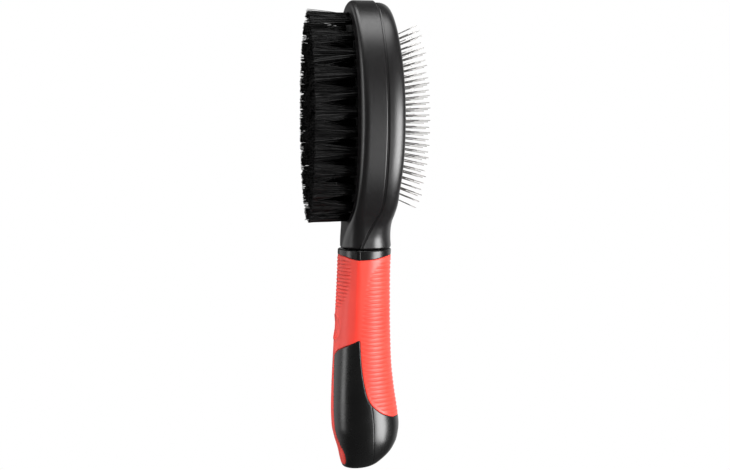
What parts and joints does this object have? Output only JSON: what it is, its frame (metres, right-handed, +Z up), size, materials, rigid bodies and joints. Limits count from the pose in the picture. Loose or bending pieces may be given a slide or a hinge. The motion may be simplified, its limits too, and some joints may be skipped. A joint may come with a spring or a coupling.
{
  "type": "double-sided pet grooming brush",
  "caption": "Double-sided pet brush: oval head with nylon bristle tufts on one face, sprung wire pins in a domed cushion on the other, and a ribbed soft-grip handle.",
  "frame": {"origin": "under the middle of the brush, level with the lowest point of the handle", "axes": "+Z up the brush from the handle's end to the top of the head, +X towards the pin side, -X towards the bristle side, Y across the width"},
  "size_m": [0.0582, 0.064, 0.2283],
  "materials": {
    "head_plastic": "satin moulded black plastic",
    "handle_plastic": "smooth glossy black plastic",
    "grip_rubber": "satin coral-red soft grip",
    "bristle_nylon": "jet-black nylon filaments",
    "anchor_metal": "bright drawn wire",
    "cushion_rubber": "matt black rubber",
    "inner_plastic": "plain moulded black plastic",
    "pin_steel": "bright drawn steel wire"
  },
  "bodies": {
    "brush": {"head_shell_bristle_side": "head_plastic", "head_shell_pin_side": "head_plastic", "bristle_plate": "head_plastic", "tufts_outer_ring": "bristle_nylon", "tufts_middle_ring": "bristle_nylon", "tufts_inner_ring": "bristle_nylon", "tufts_centre_line": "bristle_nylon", "tuft_anchor_staples": "anchor_metal", "pin_cushion": "cushion_rubber", "cushion_tray": "inner_plastic", "handle_core_bristle_half": "handle_plastic", "handle_core_pin_half": "handle_plastic", "handle_grip": "grip_rubber"},
    "pin_field": {"pin_row_1": "pin_steel", "pin_row_2": "pin_steel", "pin_row_3": "pin_steel", "pin_row_4": "pin_steel", "pin_row_5": "pin_steel", "pin_row_6": "pin_steel", "pin_row_7": "pin_steel", "pin_row_8": "pin_steel", "pin_row_9": "pin_steel"}
  },
  "joints": [
    {"name": "cushion_press", "type": "slide", "parent": "brush", "child": "pin_field", "axis": [-1, 0, 0], "range_m": [0, 0.0022], "stiffness_N_per_m": 2500, "deforming": ["pin_cushion"]}
  ]
}
